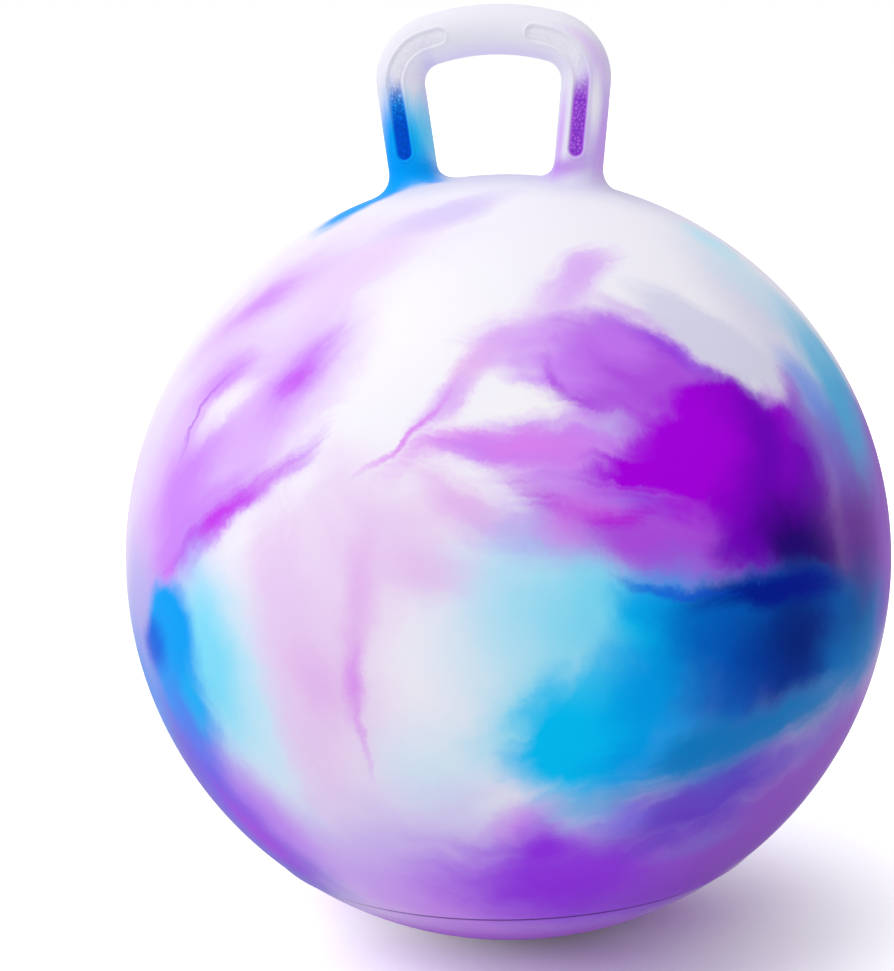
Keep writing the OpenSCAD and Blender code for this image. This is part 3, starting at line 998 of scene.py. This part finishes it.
def stroke_group(stroke, out_at, masked):
    """Nodes that lay one stroke over the colours below it: a soft bent oval, feathered along its length."""
    start, end = stroke.points[0], stroke.points[-1]
    chord = (start + end) / 2
    bent = len(stroke.points) > 2
    centre = stroke.points[1] if bent else chord
    out = out_at(centre)
    across = out.cross(end - start).normalized()
    half_chord = (end - start).length / 2
    half_width = stroke.width * MM
    half_length = max(half_chord + half_width / 2, half_width * LEAST_STRETCH)
    narrow = sqrt(1 / half_width ** 2 - 1 / half_length ** 2)
    bow = (centre - chord).dot(across)
    group = bpy.data.node_groups.new("stroke_" + stroke.colour, "ShaderNodeTree")
    for name, kind in (("Place", "Vector"), ("Waver", "Float"), ("Mask", "Float"), ("Below", "Color")):
        group.interface.new_socket(name, in_out="INPUT", socket_type="NodeSocket" + kind)
    group.interface.new_socket("Result", in_out="OUTPUT", socket_type="NodeSocketColor")
    given = group.nodes.new("NodeGroupInput").outputs
    away = measure(group, "DISTANCE", given["Place"], centre)
    square = calculate(group, "MULTIPLY", away, away)
    side = measure(group, "DOT_PRODUCT", given["Place"], across * narrow)
    aside = calculate(group, "SUBTRACT", side, centre.dot(across) * narrow)
    if bent:
        aside = calculate(group, "MULTIPLY_ADD", square, bow * narrow / half_chord ** 2, aside)
    aside_square = calculate(group, "MULTIPLY", aside, aside)
    reach_square = calculate(group, "MULTIPLY_ADD", square, half_length ** -2, aside_square)
    reach = calculate(group, "SQRT", reach_square)
    if stroke.wisp:
        lane = calculate(group, "MULTIPLY_ADD", side, STREAKS, given["Waver"])
        feather = new_node(group, "TexNoise", {"W": lane, "Scale": 1, "Detail": 1}, noise_dimensions="1D")
        reach = calculate(group, "MULTIPLY_ADD", feather.outputs[0], 2 * stroke.wisp, reach)
    amount = new_node(group, "MapRange", {"Value": reach, "From Min": 1 - stroke.soft + stroke.wisp,
                                          "From Max": 1 + stroke.soft + stroke.wisp,
                                          "To Min": stroke.strength, "To Max": 0},
                      interpolation_type="SMOOTHSTEP").outputs[0]
    if masked:
        amount = calculate(group, "MULTIPLY", amount, given["Mask"])
    result = group.nodes.new("NodeGroupOutput")
    mixed = mix_colours(group, amount, given["Below"], linear(stroke.colour))
    group.links.new(mixed, result.inputs["Result"])
    return group


def out_of_ball(point):
    """Direction out of the ball at a point."""
    return (point - CENTRE).normalized()


def out_of_loop(point):
    """Direction out of the front of the handle."""
    return Vector((0, -1, 0))


def laid(rows, place_at):
    """Strokes from rows of their values, with places that place_at finds for the points."""
    return [Stroke(colour, [place_at(*point) for point in points], *rest) for colour, points, *rest in rows]


def paint(tree, below, place, waver, strokes, out_at, mask=None):
    """Lays strokes of colour over the colours below them, one after another."""
    for stroke in strokes:
        brush = tree.nodes.new("ShaderNodeGroup")
        brush.node_tree = stroke_group(stroke, out_at, mask is not None)
        tree.links.new(place, brush.inputs["Place"])
        tree.links.new(waver, brush.inputs["Waver"])
        if isinstance(below, bpy.types.NodeSocket):
            tree.links.new(below, brush.inputs["Below"])
        else:
            brush.inputs["Below"].default_value = below
        if mask:
            tree.links.new(mask, brush.inputs["Mask"])
        below = brush.outputs[0]
    return below


def new_material(name):
    """An empty node material, with its tree and its shader."""
    material = bpy.data.materials.new(name)
    material.use_nodes = True
    return material, material.node_tree, material.node_tree.nodes["Principled BSDF"]


def noise_over(tree, place, pattern):
    """The outputs of a noise over a place, with the scale and detail of a pattern."""
    scale, detail = pattern
    return new_node(tree, "TexNoise", {"Vector": place, "Scale": scale, "Detail": detail}).outputs


def share_of(tree, mark):
    """The share that a piece's points carry under the name of a mark."""
    return new_node(tree, "Attribute", {}, attribute_name=mark).outputs["Fac"]


def warped(tree, place, pattern, amount):
    """Coordinates that a noise pushes about by up to half an amount."""
    swirl = noise_over(tree, place, pattern)["Color"]
    push = new_node(tree, "VectorMath", {0: swirl, 1: (NOISE_MIDDLE,) * 3}, operation="SUBTRACT").outputs[0]
    moved = new_node(tree, "VectorMath", {0: push, 1: (amount,) * 3, 2: place}, operation="MULTIPLY_ADD")
    return moved.outputs[0]


def set_satin(tree, shader, place, cloud, satin):
    """Gives a shader a clouded satin gloss and a faint peel."""
    rough = new_node(tree, "MapRange", {"Value": cloud, "To Min": satin.rough_low,
                                        "To Max": satin.rough_high})
    tree.links.new(rough.outputs[0], shader.inputs["Roughness"])
    shader.inputs["Specular IOR Level"].default_value = satin.gloss
    peel = noise_over(tree, place, satin.peel)[0]
    bump = new_node(tree, "Bump", {"Height": peel, "Strength": satin.strength, "Distance": satin.depth})
    tree.links.new(bump.outputs[0], shader.inputs["Normal"])


def marbled_vinyl():
    """Satin vinyl with swirled colours in it."""
    material, tree, shader = new_material("marbled_vinyl")
    place = new_node(tree, "TexCoord", {}).outputs["Object"]
    swirled = warped(tree, place, BROAD_NOISE, WARP_BROAD)
    fine = warped(tree, swirled, FINE_NOISE, WARP_FINE)
    feathered = warped(tree, fine, GRAIN_NOISE, WARP_GRAIN)
    waver = calculate(tree, "MULTIPLY", noise_over(tree, place, DRIFT_NOISE)[0], WAVER)
    flat = new_node(tree, "VectorMath", {0: place, 1: (1, 0, 1)}, operation="MULTIPLY").outputs[0]
    front = laid(front_strokes, seen) + laid(base_strokes, at) + laid(later_strokes, seen)
    colour = paint(tree, linear("frost"), feathered, waver, front + laid(back_strokes, at), out_of_ball)
    handle = laid(handle_strokes, on_loop)
    colour = paint(tree, colour, flat, waver, handle, out_of_loop, share_of(tree, "loop"))
    colour = paint(tree, colour, feathered, waver, laid(foot_strokes, seen), out_of_ball)
    # The grips' colours, then the painted shade in the pebbles' seams
    for mark, strokes in (("grip", grip_strokes), ("pebble_seam_shade", seam_shade_strokes)):
        colour = paint(tree, colour, flat, waver, laid(strokes, on_loop), out_of_loop, share_of(tree, mark))
    # Painted shade: the groove below the moulded line is darkened with a dark violet
    shade = calculate(tree, "MULTIPLY", share_of(tree, "groove"), GROOVE_SHADE)
    colour = mix_colours(tree, shade, colour, linear("painted_groove_shade"))
    tree.links.new(colour, shader.inputs["Base Color"])
    set_satin(tree, shader, place, noise_over(tree, place, SKIN_CLOUDS)[0], SKIN_SATIN)
    return material


def plain_vinyl(name, colour, tint, satin):
    """Satin moulded vinyl or plastic with faint clouds in its colour."""
    material, tree, shader = new_material(name)
    place = new_node(tree, "TexCoord", {}).outputs["Object"]
    cloud = noise_over(tree, place, SMALL_CLOUDS)[0]
    amount = new_node(tree, "MapRange", {"Value": cloud, "From Min": TINT_FROM, "From Max": TINT_TO,
                                         "To Max": TINT_MOST}).outputs[0]
    tree.links.new(mix_colours(tree, amount, linear(colour), linear(tint)), shader.inputs["Base Color"])
    set_satin(tree, shader, place, cloud, satin)
    return material


def finish_piece(piece, material, body, node):
    """Gives a piece its material and ties it to the frame."""
    piece.data.materials.clear()
    piece.data.materials.append(material)
    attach(piece, body)
    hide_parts(node)


marble = marbled_vinyl()
finish_piece(make_ball(), marble, "ball", "ball_skin")
finish_piece(make_handle(), marble, "ball", "handle_loop")
seat_vinyl = plain_vinyl("valve_vinyl", "frost", "mist", SEAT_SATIN)
finish_piece(lathe("valve_ring", seat_section), seat_vinyl, "ball", "valve_seat")
plug_plastic = plain_vinyl("plug_plastic", "milk", "frost", PLUG_SATIN)
finish_piece(lathe("air_plug", plug_section), plug_plastic, "plug", "valve_plug")

# Studio
FLOOR_HALF = 30
FLOOR_DROP = 0.0003
FLOOR_COLOUR = (0.88, 0.88, 0.88, 1)
WHITE = (1, 1, 1, 1)
AMBIENT = 0.74
SLANT = 0.3
KEY_STRENGTH = 0.9
# Painted light on the floor: the glow that the camera sees, nil near the spot beside the ball and full
# beyond the distances after it
FLOOR_PAINTED_GLOW = 0.42
SHADE_PLACE = (0.09, -0.02, 0)
SHADE_FROM = 0.03
SHADE_TO = 0.24
KEY_SPREAD = radians(46)
KEY_TILT = radians(26)
KEY_TURN = radians(-50)


def camera_white(tree):
    """1 for rays from the camera, to which the studio shows as plain white, and 0 for all others."""
    return new_node(tree, "LightPath", {}).outputs["Is Camera Ray"]


def make_floor():
    """A pale floor whose camera rays see a painted glow that grows with distance from a spot beside the
    ball, so that it reads as white round the ball and the shadow stays close to it.
    """
    mesh = bpy.data.meshes.new("floor")
    corners = [(-1, -1), (1, -1), (1, 1), (-1, 1)]
    mesh.from_pydata([(x * FLOOR_HALF, y * FLOOR_HALF, -FLOOR_DROP) for x, y in corners], [], [(0, 1, 2, 3)])
    floor = bpy.data.objects.new("floor", mesh)
    bpy.context.scene.collection.objects.link(floor)
    material, tree, shader = new_material("floor")
    shade = mix_colours(tree, camera_white(tree), FLOOR_COLOUR, WHITE)
    tree.links.new(shade, shader.inputs["Base Color"])
    shader.inputs["Roughness"].default_value = 1
    shader.inputs["Specular IOR Level"].default_value = 0
    shader.inputs["Emission Color"].default_value = WHITE
    # Painted light: camera rays see the floor glow more the farther it lies from the spot beside the ball
    place = new_node(tree, "TexCoord", {}).outputs["Object"]
    away = measure(tree, "DISTANCE", place, SHADE_PLACE)
    lift = new_node(tree, "MapRange", {"Value": away, "From Min": SHADE_FROM, "From Max": SHADE_TO,
                                       "To Max": FLOOR_PAINTED_GLOW}, interpolation_type="SMOOTHSTEP").outputs[0]
    tree.links.new(calculate(tree, "MULTIPLY", lift, camera_white(tree)), shader.inputs["Emission Strength"])
    mesh.materials.append(material)


def make_light():
    """Soft light from all round, stronger from the left, and one broad key from the upper left."""
    world = bpy.data.worlds.new("studio")
    world.use_nodes = True
    bpy.context.scene.world = world
    tree = world.node_tree
    towards = new_node(tree, "TexCoord", {}).outputs["Generated"]
    slanted = measure(tree, "DOT_PRODUCT", towards, (-AMBIENT * SLANT, 0, 0))
    ambient = calculate(tree, "ADD", slanted, AMBIENT)
    strength = new_node(tree, "MapRange", {"Value": camera_white(tree), "To Min": ambient, "To Max": 1})
    tree.nodes["Background"].inputs["Color"].default_value = WHITE
    tree.links.new(strength.outputs[0], tree.nodes["Background"].inputs["Strength"])
    data = bpy.data.lights.new("key", "SUN")
    data.energy = KEY_STRENGTH
    data.angle = KEY_SPREAD
    key = bpy.data.objects.new("key", data)
    key.rotation_euler = (KEY_TILT, 0, KEY_TURN)
    bpy.context.scene.collection.objects.link(key)


make_floor()
make_light()
bpy.context.scene.view_settings.view_transform = "Standard"
